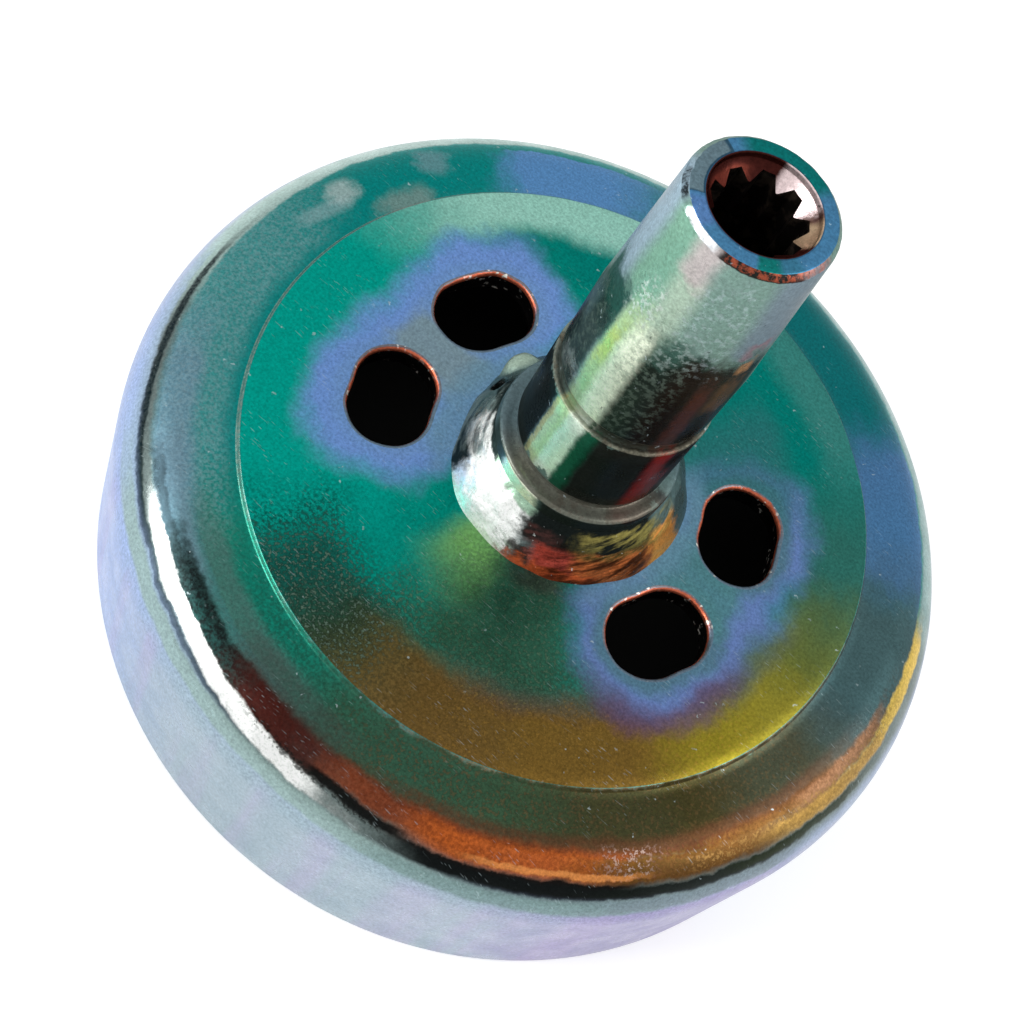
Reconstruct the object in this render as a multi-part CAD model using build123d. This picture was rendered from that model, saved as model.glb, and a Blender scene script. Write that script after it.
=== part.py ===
from build123d import *
import os
from math import cos, radians, sin, tan

# Clutch drum of a brush cutter: a pressed steel cup, welded to a turned shaft with a splined socket.
# Millimetres. The origin is the middle of the cup's open rim, and the shaft stands along +Z.

# Cup, drawn from sheet
drum_outer_d = 83.0
sheet = 2.5
cup_height = 23.0
corner_r = 6.8
inside_bevel = 3.2
rim_edge = 0.4

# Flat disc that is coined proud in the middle of the cup's top
disc_ledge = 3.35
disc_rise = 0.45
disc_bevel = 0.45

# Access holes for pliers, in two opposite pairs on the X axis
hole_circle_d = 35.8
hole_length = 10.9
hole_width = 8.1
hole_pair_angle = 46.7

# Shaft, from its spigot in the cup up to its open end
spigot_d = 16.0
spigot_clearance = 0.04
spigot_proud = 1.2
spigot_edge = 0.5
collar_d = 17.6
collar_height = 6.35
collar_edge = 0.4
relief_d = 14.3
relief_width = 0.9
seat_d = 15.0
seat_length = 11.0
groove_d = 14.0
groove_width = 1.1
sleeve_d = 14.5
sleeve_length = 24.4
sleeve_straight = 8.0
sleeve_end_d = 13.0
end_chamfer = 0.6

# Splined socket for the drive shaft
mouth_d = 9.1
mouth_depth = 0.5
spline_teeth = 9
spline_minor_d = 6.5
spline_major_d = 8.0
spline_floor_width = 1.05
spline_flank_angle = 30.0
spline_turn = 13.3
socket_edge = 0.6

# Fillet weld round the collar, with the lump where the bead was closed
weld_leg_r = 3.2
weld_leg_z = 4.7
weld_bulge = 0.3
weld_lump_angle = 161.0
weld_lump_d = 5.2
weld_lump_top_d = 2.0
weld_lump_height = 3.3
weld_lump_out = 1.3

# Radii and heights that follow from the sizes above
drum_r = drum_outer_d / 2
corner_start_r = drum_r - corner_r
disc_top = cup_height + disc_rise
collar_r = collar_d / 2
shoulder_z = disc_top + collar_height
seat_end_z = shoulder_z + seat_length
sleeve_z = seat_end_z + groove_width
shaft_end_z = sleeve_z + sleeve_length
shaft_foot_z = disc_top - sheet - spigot_proud


def turned(corners):
    """Turn a closed outline round the Z axis; each corner is (radius, height, rounding)."""
    points = [(r, z) for r, z, rounding in corners]
    roundings = [rounding for r, z, rounding in corners]
    outline = FilletPolyline(*points, radius=roundings, close=True)
    return revolve(make_face(Plane.XZ * outline), Axis.Z)


def at_polar(radius, angle, height):
    """Place at a radius and an angle round the shaft's axis."""
    turn = radians(angle)
    return Pos(radius * cos(turn), radius * sin(turn), height)


def access_hole(angle):
    """Cutter for one access hole, long round the axis, from the open rim up through the top."""
    slot = SlotOverall(hole_length, hole_width, rotation=angle + 90)
    return extrude(at_polar(hole_circle_d / 2, angle, 0) * slot, disc_top + sheet)


def drum_cup():
    """Drawn cup with its coined disc, its access holes and the seat for the shaft's spigot."""
    inner_r = drum_r - sheet
    hole_r = spigot_d / 2 + spigot_clearance
    foot_r = corner_start_r - disc_ledge
    disc_r = foot_r - disc_bevel
    cup = turned([
        (drum_r - rim_edge, 0, 0),
        (drum_r, rim_edge, 0),
        (drum_r, cup_height, corner_r),
        (foot_r, cup_height, 0),
        (disc_r, disc_top, 0),
        (hole_r, disc_top, 0),
        (hole_r, disc_top - sheet, 0),
        (disc_r, disc_top - sheet, 0),
        (foot_r, cup_height - sheet, 0),
        (inner_r - inside_bevel, cup_height - sheet, 0),
        (inner_r, cup_height - sheet - inside_bevel, 0),
        (inner_r, rim_edge, 0),
        (inner_r + rim_edge, 0, 0),
    ])
    for side in (0, 180):
        for half in (-1, 1):
            cup -= access_hole(side + half * hole_pair_angle / 2)
    return cup


def spline_space(angle):
    """Cutter for the space between two spline teeth, along the whole socket."""
    floor_r = spline_major_d / 2
    mouth_r = spline_minor_d / 2 * cos(radians(180 / spline_teeth))
    floor_half = spline_floor_width / 2
    mouth_half = floor_half + (floor_r - mouth_r) * tan(radians(spline_flank_angle))
    space = Polygon(
        (mouth_r, -mouth_half),
        (floor_r, -floor_half),
        (floor_r, floor_half),
        (mouth_r, mouth_half),
        align=None,
    )
    return extrude(Pos(0, 0, shaft_foot_z) * Rot(0, 0, angle) * space, shaft_end_z - shaft_foot_z)


def splined_shaft():
    """Turned shaft: spigot, collar, bearing seat, ring groove and tapered sleeve, with a broached socket."""
    spigot_r = spigot_d / 2
    relief_r = relief_d / 2
    seat_r = seat_d / 2
    groove_r = groove_d / 2
    sleeve_r = sleeve_d / 2
    end_r = sleeve_end_d / 2
    mouth_r = mouth_d / 2
    tip_r = spline_minor_d / 2
    seat_z = shoulder_z + relief_width
    shaft = turned([
        (tip_r + socket_edge, shaft_foot_z, 0),
        (spigot_r - spigot_edge, shaft_foot_z, 0),
        (spigot_r, shaft_foot_z + spigot_edge, 0),
        (spigot_r, disc_top, 0),
        (collar_r, disc_top, 0),
        (collar_r, shoulder_z - collar_edge, 0),
        (collar_r - collar_edge, shoulder_z, 0),
        (relief_r, shoulder_z, 0),
        (relief_r, seat_z, 0),
        (seat_r, seat_z, 0),
        (seat_r, seat_end_z, 0),
        (groove_r, seat_end_z, 0),
        (groove_r, sleeve_z, 0),
        (sleeve_r, sleeve_z, 0),
        (sleeve_r, sleeve_z + sleeve_straight, 0),
        (end_r, shaft_end_z - end_chamfer, 0),
        (end_r - end_chamfer, shaft_end_z, 0),
        (mouth_r, shaft_end_z, 0),
        (mouth_r, shaft_end_z - mouth_depth, 0),
        (tip_r, shaft_end_z - mouth_depth - (mouth_r - tip_r), 0),
        (tip_r, shaft_foot_z + socket_edge, 0),
    ])
    pitch = 360 / spline_teeth
    spaces = [spline_space(spline_turn + (tooth + 0.5) * pitch) for tooth in range(spline_teeth)]
    return shaft - spaces


def weld_bead():
    """Ring of weld in the corner between the collar and the cup's disc."""
    toe = (collar_r + weld_leg_r, disc_top)
    crown = (collar_r, disc_top + weld_leg_z)
    heel = (collar_r, disc_top)
    middle = Vector(toe[0] + crown[0], toe[1] + crown[1]) / 2
    outward = Vector(weld_leg_z, weld_leg_r).normalized()
    outline = Polyline(heel, toe, middle + outward * weld_bulge, crown, close=True)
    bead = revolve(make_face(Plane.XZ * outline), Axis.Z)
    upward = (Align.CENTER, Align.CENTER, Align.MIN)
    lump = Cone(weld_lump_d / 2, weld_lump_top_d / 2, weld_lump_height, align=upward)
    bead += at_polar(collar_r + weld_lump_out, weld_lump_angle, disc_top) * lump
    collar = Cylinder(collar_r, collar_height, align=upward)
    return bead - Pos(0, 0, disc_top) * collar


os.makedirs("parts", exist_ok=True)
export_step(drum_cup(), "parts/drum_cup.step")
export_step(splined_shaft(), "parts/splined_shaft.step")
export_step(weld_bead(), "parts/weld_bead.step")
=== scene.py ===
from collections import namedtuple
from math import atan2, cos, degrees, pi, radians, sin, sqrt, tan, tau

import bmesh
import bpy
from mathutils import Matrix, Vector, noise
from mathutils.geometry import delaunay_2d_cdt


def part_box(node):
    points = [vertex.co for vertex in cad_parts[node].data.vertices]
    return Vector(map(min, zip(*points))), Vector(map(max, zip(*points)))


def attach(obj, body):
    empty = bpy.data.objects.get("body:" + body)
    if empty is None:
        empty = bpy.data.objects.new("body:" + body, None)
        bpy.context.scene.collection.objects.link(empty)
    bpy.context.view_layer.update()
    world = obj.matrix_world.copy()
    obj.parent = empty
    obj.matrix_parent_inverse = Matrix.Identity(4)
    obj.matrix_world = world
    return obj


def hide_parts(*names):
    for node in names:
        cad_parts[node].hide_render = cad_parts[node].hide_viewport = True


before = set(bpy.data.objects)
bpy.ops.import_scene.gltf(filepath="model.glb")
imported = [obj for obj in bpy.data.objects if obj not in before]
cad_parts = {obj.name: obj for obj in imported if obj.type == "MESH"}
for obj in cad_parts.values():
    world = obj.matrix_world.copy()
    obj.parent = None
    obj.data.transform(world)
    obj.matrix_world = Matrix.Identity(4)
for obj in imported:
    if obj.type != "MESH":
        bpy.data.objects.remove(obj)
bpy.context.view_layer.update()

# Clutch drum of a brush cutter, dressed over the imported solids.
# Sizes are in millimetres, as in the part's source, and meshes are written in metres.

MM = 0.001


def node_box(name):
    """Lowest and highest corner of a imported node, in millimetres."""
    low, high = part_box(name)
    return low / MM, high / MM


_, cup_high = node_box("drum_cup")
shaft_low, shaft_high = node_box("splined_shaft")
_, weld_high = node_box("weld_bead")

# Cup
drum_r = cup_high.x
disc_top = cup_high.z
sheet = 2.5
disc_rise = 0.45
corner_r = 6.8
corner_start_r = drum_r - corner_r
cup_height = disc_top - disc_rise
corner_z = cup_height - corner_r
inner_r = drum_r - sheet
disc_ledge = 3.35
disc_bevel = 0.18
foot_r = corner_start_r - disc_ledge
disc_r = foot_r - disc_bevel
step_round = 0.12
rim_round = 0.4
seat_r = 8.04
dish = 0.025
dish_size = 7.0

# Distances along the cup's outside, from the axis: the wall's top, the rim, and where the
# ledge's, the corner's and the wall's paint start. Each paint takes the dabs that come this near.
wall_run = corner_start_r + corner_r * pi / 2
rim_run = wall_run + corner_z
band_starts = (0.0, 35.4, 42.8)
band_slack = 1.6

# Access holes
hole_circle_r = 17.9
hole_length = 10.45
hole_width = 7.8
hole_half_angle = 23.35
hole_roll = 0.40
hole_wobble = 0.08
hole_wobble_size = 1.9
hole_margin = 1.0
hole_break = ((0.0, 1.1), (0.06, 1.5), (0.10, 2.2), (0.06, sheet))
hole_reach = (hole_length - hole_width) / 2
copper_side = radians(146)

# Shaft
shaft_end = shaft_high.z
shaft_foot = shaft_low.z
collar_r = shaft_high.x
spigot_r = 8.0
collar_height = 6.35
seat_length = 11.0
groove_width = 1.1
sleeve_straight = 8.0
relief_width = 0.9
shoulder_z = disc_top + collar_height
seat_end_z = shoulder_z + seat_length
sleeve_z = seat_end_z + groove_width
taper_z = sleeve_z + sleeve_straight
relief_r = 7.15
relief_top_z = shoulder_z + relief_width
bearing_r = 7.5
groove_r = 7.0
sleeve_r = 7.25
end_r = 6.38
end_chamfer = 0.45
end_round = 0.12
nick_side = radians(205)
nick_least = 0.25

# Socket
mouth_r = 4.55
mouth_depth = 0.5
teeth = 9
tip_r = 3.25
floor_r = 4.0
floor_half = 0.525
flank = tan(radians(30))
tooth_turn = radians(13.3)
socket_edge = 0.6

# Weld
weld_leg = 3.2
weld_toe_r = collar_r + weld_leg
weld_middle_r = 10.6
weld_crown_z = weld_high.z
weld_bulge = 0.3
weld_rough = 0.09
weld_grain = 0.03
ridge_height = 0.035
ridge_spacing = 0.42
ridge_angle = radians(325)
toe_waver = 0.25
toe_dent = 1.2
toe_dent_angle = radians(190)
fan_angle = 275.0
fan_slope = 0.058

# Lump and pit where the weld was closed: angle, half width round the axis, and the middle
# and half width as shares of the way from the crown to the toe
lump_height = 1.15
lump_angle = radians(161)
lump_place = (lump_angle, 2.1, 0.62, 0.40)
pit_depth = 1.5
pit_angle = radians(181)
pit_place = (pit_angle, 1.0, 0.42, 0.18)

# Mesh fineness, and the bend from which an edge is shaded sharp
sharp_edge = radians(40)
cup_segments = 288
corner_steps = 20
disc_rows = 15
disc_spokes = 12
hole_steps = 24
pitch_steps = 22
weld_segments = 360
weld_rows = 40


class Skin:
    """Points in millimetres, and faces between them that each carry a material number."""

    def __init__(self):
        self.points = []
        self.faces = []
        self.paints = []

    def ring(self, points):
        """Add points and give back their numbers."""
        first = len(self.points)
        self.points.extend(points)
        return list(range(first, len(self.points)))

    def face(self, corners, paint):
        self.faces.append(corners)
        self.paints.append(paint)

    def bridge(self, loops, paint):
        """Join closed loops of equal length, one after the other."""
        for first, second in zip(loops, loops[1:]):
            count = len(first)
            for i in range(count):
                j = (i + 1) % count
                self.face((first[i], second[i], second[j], first[j]), paint)

    def plate(self, loops, free, paint):
        """Fill the flat area in the first loop, around the other loops, with free points in it."""
        numbers = [n for loop in loops for n in loop]
        edges = []
        first = 0
        for loop in loops:
            count = len(loop)
            edges += [(first + i, first + (i + 1) % count) for i in range(count)]
            first += count
        numbers += free
        flat = [Vector(self.points[n][:2]) for n in numbers]
        outlines = [[self.points[n][:2] for n in loop] for loop in loops]
        spots, _, triangles, sources, _, _ = delaunay_2d_cdt(flat, edges, [], 0, 1e-5)
        for triangle in triangles:
            middle = sum((spots[i] for i in triangle), Vector((0, 0))) / 3
            if within(middle, outlines[0]) and not any(within(middle, hole) for hole in outlines[1:]):
                self.face(tuple(numbers[sources[i][0]] for i in triangle), paint)

    def piece(self, name, node, materials):
        """Make the object, smooth but for its sharp edges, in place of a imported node."""
        mesh = bpy.data.meshes.new(name)
        mesh.from_pydata([Vector(p) * MM for p in self.points], [], self.faces)
        for material in materials:
            mesh.materials.append(material)
        mesh.polygons.foreach_set("material_index", self.paints)
        work = bmesh.new()
        work.from_mesh(mesh)
        bmesh.ops.recalc_face_normals(work, faces=work.faces)
        work.to_mesh(mesh)
        work.free()
        mesh.shade_smooth()
        mesh.set_sharp_from_angle(angle=sharp_edge)
        obj = bpy.data.objects.new(name, mesh)
        bpy.context.scene.collection.objects.link(obj)
        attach(obj, "root")
        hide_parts(node)


def within(spot, corners):
    """Whether a spot lies inside a closed outline."""
    inside = False
    x, y = spot
    for (ax, ay), (bx, by) in zip(corners, corners[1:] + corners[:1]):
        if (ay > y) != (by > y) and x < ax + (y - ay) / (by - ay) * (bx - ax):
            inside = not inside
    return inside


def polar(radius, turn, height):
    """Point at a radius and a turn round the axis."""
    return (radius * cos(turn), radius * sin(turn), height)


def even_turns(count):
    return [tau * i / count for i in range(count)]


def loop(turns, radius, height):
    """Points round the axis; radius and height are numbers, or functions of the turn."""
    radius_at = radius if callable(radius) else lambda turn: radius
    height_at = height if callable(height) else lambda turn: height
    return [polar(radius_at(t), t, height_at(t)) for t in turns]


def arc(centre_r, centre_z, radius, start, end, steps):
    """Outline points on an arc; angles in degrees from +Z towards the outside."""
    angles = [radians(start + (end - start) * i / steps) for i in range(steps + 1)]
    return [(centre_r + radius * sin(a), centre_z + radius * cos(a)) for a in angles]


def line(start, end, steps):
    """Outline points on a straight run, without its two ends."""
    shares = [i / steps for i in range(1, steps)]
    return [tuple(a + (b - a) * share for a, b in zip(start, end)) for share in shares]


def ripple(x, y, z, size):
    """Smooth noise from -1 to 1 over a distance in millimetres."""
    return noise.noise(Vector((x, y, z)) / size)


def hole_distance(x, y):
    """Distance from the edge of the nearest access hole, negative inside it."""
    turn = radians(hole_half_angle)
    dx = abs(x) - hole_circle_r * cos(turn)
    dy = abs(y) - hole_circle_r * sin(turn)
    along = abs(dy * cos(turn) - dx * sin(turn))
    across = dx * cos(turn) + dy * sin(turn)
    past = max(along - hole_reach, 0)
    return sqrt(past ** 2 + across ** 2) - hole_width / 2


def hole_loop(angle, grow, height):
    """Points round an access hole that is made larger by grow, with a punched edge's wobble."""
    radius = hole_width / 2 + grow
    outline = []
    for side in (1, -1):
        for step in range(hole_steps + 1):
            turn = pi * (step / hole_steps - 0.5)
            outline.append((side * radius * sin(turn), side * (radius * cos(turn) + hole_reach)))
        for share in (0.25, 0.5, 0.75):
            outline.append((side * radius, side * hole_reach * (1 - 2 * share)))
    points = []
    for across, along in outline:
        r = hole_circle_r + across
        x = r * cos(angle) - along * sin(angle)
        y = r * sin(angle) + along * cos(angle)
        push = 1 + hole_wobble * ripple(x, y, 7.0, hole_wobble_size) / radius
        x += (push - 1) * (x - hole_circle_r * cos(angle))
        y += (push - 1) * (y - hole_circle_r * sin(angle))
        points.append((x, y, height))
    return points


def cup_run(radius, height):
    """Distance along the cup's outside, from the axis over the top and corner and down the wall."""
    bend = corner_r * atan2(max(radius - corner_start_r, 0), max(height - corner_z, 0))
    return min(radius, corner_start_r) + bend + max(corner_z - height, 0)


def drum_cup(paints):
    """Drawn cup: rounded rim and corner, stepped disc, and four punched holes with rolled edges."""
    disc, inner, edge, ledge = range(4)
    skin = Skin()
    turns = even_turns(cup_segments)
    bottom = disc_top - sheet

    outside = [
        (disc_r - step_round, disc_top),
        (disc_r, disc_top - step_round / 2),
        (foot_r - step_round / 2, cup_height + step_round),
        (foot_r + step_round, cup_height),
        *line((foot_r + step_round, cup_height), (corner_start_r, cup_height), 4),
        *arc(corner_start_r, corner_z, corner_r, 0, 90, corner_steps),
        *line((drum_r, corner_z), (drum_r, rim_round), 10),
        *arc(drum_r - rim_round, rim_round, rim_round, 90, 180, 5),
    ]
    inside = [
        *arc(inner_r + rim_round, rim_round, rim_round, 180, 270, 5),
        *line((inner_r, rim_round), (inner_r, corner_z), 8),
        *arc(corner_start_r, corner_z, corner_r - sheet, 90, 0, 12),
        (foot_r, cup_height - sheet),
        (disc_r, bottom),
    ]
    seat_top = skin.ring(loop(turns, seat_r, disc_top))
    outer_loops = [skin.ring(loop(turns, r, z)) for r, z in outside]
    inner_loops = [skin.ring(loop(turns, r, z)) for r, z in inside]
    seat_bottom = skin.ring(loop(turns, seat_r, bottom))
    for upper, lower, (r, z) in zip(outer_loops, outer_loops[1:], outside):
        band = sum(cup_run(r, z) > start for start in band_starts[1:])
        skin.bridge([upper, lower], ledge + band)
    skin.bridge([outer_loops[-1], *inner_loops], inner)
    skin.bridge([seat_bottom, seat_top], inner)

    bends = (0, 0.3, 0.6, 0.9, 1.2, pi / 2)
    roll = [(hole_roll * (1 - sin(a)), hole_roll * (1 - cos(a))) for a in bends]
    wall = [(grow, disc_top - depth) for grow, depth in [*roll, *hole_break]]
    top_holes, bottom_holes = [], []
    for side in (0, 180):
        for half in (-1, 1):
            angle = radians(side + half * hole_half_angle)
            loops = [skin.ring(hole_loop(angle, grow, z)) for grow, z in wall]
            skin.bridge(loops[::-1], edge)
            top_holes.append(loops[0])
            bottom_holes.append(loops[-1])

    free = []
    for row in range(1, disc_rows):
        radius = seat_r + (disc_r - seat_r) * row / disc_rows
        for turn in even_turns(disc_spokes * (row + 5)):
            x, y, z = polar(radius, turn, disc_top)
            if hole_distance(x, y) > hole_margin:
                free.append((x, y, z + dish * ripple(x, y, 3.0, dish_size)))
    top_free = skin.ring(free)
    bottom_free = skin.ring([(x, y, z - sheet) for x, y, z in free])

    skin.plate([outer_loops[0], seat_top, *top_holes], top_free, disc)
    skin.plate([inner_loops[-1], seat_bottom, *bottom_holes], bottom_free, inner)
    skin.piece("drum_cup_plated", "drum_cup", paints)


def socket_radius(turn):
    """Radius of the splined socket at a turn round the axis."""
    pitch = tau / teeth
    off = abs((turn - tooth_turn) % pitch - pitch / 2)
    side = (floor_half + floor_r * flank) / (sin(off) + flank * cos(off))
    return max(tip_r, min(floor_r / cos(off), side))


def splined_shaft(paints):
    """Turned shaft with broken edges, a nicked end and a broached socket."""
    body, face, mouth, socket = range(4)
    skin = Skin()
    turns = [tooth_turn + t for t in even_turns(teeth * pitch_steps)]

    def nick(turn, depth, size):
        """How far the end's edge is knocked in: more on the side that was dropped on."""
        dropped = max(0, cos(turn - nick_side)) ** 2
        rough = noise.noise(Vector((cos(turn), sin(turn), depth)) * end_r / size)
        return depth * max(0, rough + nick_least) * (nick_least + dropped)

    def end_radius(cut, depth):
        return lambda turn: end_r - cut - nick(turn, depth, 0.55)

    def end_height(cut, depth):
        return lambda turn: shaft_end - cut - nick(turn, depth, 0.7)

    chamfer_z = shaft_end - end_chamfer - 2 * end_round
    chamfer_r = end_r + 0.01
    outside = [
        (end_radius(end_chamfer + end_round, 0), shaft_end),
        (end_radius(end_chamfer, 0.08), end_height(end_round / 3, 0.05)),
        (end_radius(end_chamfer * 0.6, 0.16), end_height(end_chamfer * 0.4, 0.16)),
        (end_radius(end_chamfer * 0.25, 0.16), end_height(end_chamfer * 0.75, 0.16)),
        (end_radius(0.03, 0.08), end_height(end_chamfer, 0.08)),
        (chamfer_r, chamfer_z),
        *line((chamfer_r, chamfer_z), (sleeve_r, taper_z), 8),
        (sleeve_r, taper_z),
        *line((sleeve_r, taper_z), (sleeve_r, sleeve_z + 0.3), 4),
        (sleeve_r, sleeve_z + 0.30),
        (sleeve_r - 0.06, sleeve_z + 0.10),
        (sleeve_r - 0.16, sleeve_z),
        (groove_r + 0.05, sleeve_z - 0.02),
        (groove_r, sleeve_z - 0.15),
        (groove_r, seat_end_z + 0.15),
        (groove_r + 0.05, seat_end_z + 0.02),
        (bearing_r - 0.22, seat_end_z),
        (bearing_r - 0.07, seat_end_z - 0.07),
        (bearing_r, seat_end_z - 0.25),
        *line((bearing_r, seat_end_z - 0.25), (bearing_r, relief_top_z + 0.2), 5),
        (bearing_r, relief_top_z + 0.2),
        (bearing_r - 0.10, relief_top_z),
        (relief_r + 0.02, relief_top_z - 0.25),
        (relief_r, shoulder_z + 0.3),
        (relief_r + 0.1, shoulder_z + 0.08),
        (relief_r + 0.3, shoulder_z),
        *line((relief_r + 0.3, shoulder_z), (collar_r - 0.4, shoulder_z), 3),
        (collar_r - 0.45, shoulder_z),
        (collar_r - 0.25, shoulder_z - 0.06),
        (collar_r - 0.08, shoulder_z - 0.22),
        (collar_r, shoulder_z - 0.45),
        (collar_r, disc_top),
        (spigot_r, disc_top),
        (spigot_r, shaft_foot + 0.5),
        (spigot_r - 0.5, shaft_foot),
        (lambda turn: max(socket_radius(turn), tip_r + socket_edge), shaft_foot),
        (socket_radius, lambda turn: shaft_foot + max(0, tip_r + socket_edge - socket_radius(turn))),
    ]
    bore_foot, bore_length = shaft_foot + 0.8, shaft_end - shaft_foot - 4.0
    bore = [
        *[(socket_radius, bore_foot + bore_length * share) for share in (0, 0.35, 0.7, 1)],
        (socket_radius, lambda turn: shaft_end - mouth_depth - (mouth_r - socket_radius(turn))),
    ]
    cone = [
        (lambda turn: (socket_radius(turn) + mouth_r) / 2,
         lambda turn: shaft_end - mouth_depth - (mouth_r - socket_radius(turn)) / 2),
        (mouth_r - 0.05, shaft_end - mouth_depth - 0.03),
        (mouth_r, shaft_end - mouth_depth + 0.08),
        (mouth_r, shaft_end - 0.12),
        (mouth_r + 0.04, shaft_end - 0.03),
        (mouth_r + 0.14, shaft_end),
    ]
    outer_loops = [skin.ring(loop(turns, r, z)) for r, z in outside]
    bore_loops = [skin.ring(loop(turns, r, z)) for r, z in bore]
    cone_loops = [skin.ring(loop(turns, r, z)) for r, z in cone]
    skin.bridge([cone_loops[-1], outer_loops[0]], face)
    skin.bridge(outer_loops[:2], face)
    skin.bridge(outer_loops[1:], body)
    skin.bridge([outer_loops[-1], *bore_loops], socket)
    skin.bridge([bore_loops[-1], *cone_loops], mouth)
    skin.piece("splined_shaft_plated", "splined_shaft", paints)


def weld_bead(paints):
    """Ring of weld with fine ridges round it, a wavy toe, and the lump and pit where it was closed."""
    skin = Skin()
    turns = even_turns(weld_segments)
    run_r = weld_toe_r - collar_r
    run_z = weld_crown_z - disc_top
    face_length = sqrt(run_r ** 2 + run_z ** 2)
    out_r, out_z = run_z / face_length, run_r / face_length

    def mound(turn, share, angle, half, middle, share_half):
        """1 at a place on the face, falling to 0 at its edge."""
        far = abs((turn - angle + pi) % tau - pi) * weld_middle_r
        return max(0, 1 - (far / half) ** 2 - ((share - middle) / share_half) ** 2)

    def swell(turn, share):
        """How far the face stands off the straight line from the crown to the toe."""
        ends = sin(pi * share)
        x, y = cos(turn), sin(turn)
        crown = weld_bulge * ends
        ridged = max(0, cos(turn - ridge_angle)) ** 2
        wave = noise.noise(Vector((x * 1.5, y * 1.5, share)))
        off_front = abs((degrees(turn) - fan_angle + 180) % 360 - 180)
        along = share * face_length + fan_slope * off_front + 0.4 * wave
        ridge = ridge_height * ridged * sin(tau * along / ridge_spacing)
        rough = weld_rough * noise.noise(Vector((x * 9, y * 9, share * 5)))
        rough += weld_grain * noise.noise(Vector((x * 30, y * 30, share * 9)))
        lump = lump_height * mound(turn, share, *lump_place)
        pit = pit_depth * mound(turn, share, *pit_place)
        return crown + min(1, 3 * ends) * (ridge + rough) + lump * ends - pit

    def toe_wave(turn):
        """How far the toe strays from its circle; it is drawn in beside the pit."""
        off = (turn - toe_dent_angle + pi) % tau - pi
        dent = toe_dent * max(0, cos(min(1.6 * abs(off), pi / 2))) ** 2
        return toe_waver * noise.noise(Vector((cos(turn) * 4, sin(turn) * 4, 1.0))) - dent

    loops = []
    for row in range(weld_rows + 1):
        share = row / weld_rows
        points = []
        for turn in turns:
            r = collar_r + (run_r + toe_wave(turn)) * share + out_r * swell(turn, share)
            z = weld_crown_z - run_z * share + out_z * swell(turn, share)
            points.append(polar(max(r, collar_r), turn, max(z, disc_top)))
        loops.append(skin.ring(points))
    heel = skin.ring(loop(turns, collar_r, disc_top))
    skin.bridge([*loops, heel, loops[0]], 0)
    skin.piece("weld_bead_plated", "weld_bead", paints)


class Nodes:
    """Short calls that add nodes to a tree and join them up."""

    def __init__(self, tree):
        self.tree = tree

    def add(self, kind, inputs=None, **settings):
        node = self.tree.nodes.new(kind)
        for key, value in settings.items():
            setattr(node, key, value)
        for key, value in (inputs or {}).items():
            self.feed(node.inputs[key], value)
        return node

    def feed(self, socket, value):
        if isinstance(value, bpy.types.NodeSocket):
            self.tree.links.new(value, socket)
        else:
            socket.default_value = value

    def math(self, operation, *values):
        return self.add("ShaderNodeMath", dict(enumerate(values)), operation=operation).outputs[0]

    def plus(self, a, b):
        return self.math("ADD", a, b)

    def minus(self, a, b):
        return self.math("SUBTRACT", a, b)

    def over(self, a, b):
        """How far a is over b, and 0 below it."""
        return self.math("MAXIMUM", self.minus(a, b), 0.0)

    def times(self, first, *others):
        for other in others:
            first = self.math("MULTIPLY", first, other)
        return first

    def length(self, a, b):
        """Length of a flat vector."""
        return self.math("SQRT", self.plus(self.times(a, a), self.times(b, b)))

    def smooth(self, value, start, end, low=0.0, high=1.0):
        """Rise from low to high while the value goes from start to end."""
        inputs = {"Value": value, "From Min": start, "From Max": end, "To Min": low, "To Max": high}
        return self.add("ShaderNodeMapRange", inputs, interpolation_type="SMOOTHSTEP").outputs[0]

    def mix(self, share, below, above, blend="MIX"):
        """Lay one colour over another."""
        inputs = {0: share, 6: below, 7: above}
        return self.add("ShaderNodeMix", inputs, data_type="RGBA", blend_type=blend).outputs[2]

    def vector(self, operation, inputs):
        return self.add("ShaderNodeVectorMath", inputs, operation=operation).outputs[0]

    def noise(self, place, size, detail=3.0, rough=0.55):
        """Noise around 0.5, with features of about this size in millimetres."""
        inputs = {"Vector": place, "Scale": 1 / size, "Detail": detail, "Roughness": rough}
        return self.add("ShaderNodeTexNoise", inputs).outputs["Fac"]


def colour(red, green, blue):
    """A screen colour, 0 to 255, as the linear colour that nodes take."""
    parts = [c / 255 for c in (red, green, blue)]
    return [c / 12.92 if c <= 0.04045 else ((c + 0.055) / 1.055) ** 2.4 for c in parts] + [1.0]


# One patch of the plating's colour, or a painted highlight, painted shade or painted reflection: round
# the axis by its angle and half width in degrees, and along the surface from low to high in
# millimetres, with soft ends both ways.
# It may climb by its slope in millimetres a degree, narrow to its ends, or be broken up by grit:
# above 1, only specks of it are left. The angle, half width and fade all_round go all the way round.
Dab = namedtuple("Dab", "tint angle spread fade low high soft strength slope taper broken",
                 defaults=(1.0, 0.9, 0.0, 0.0, 0.0))
all_round = (0, 180, 1)


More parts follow.
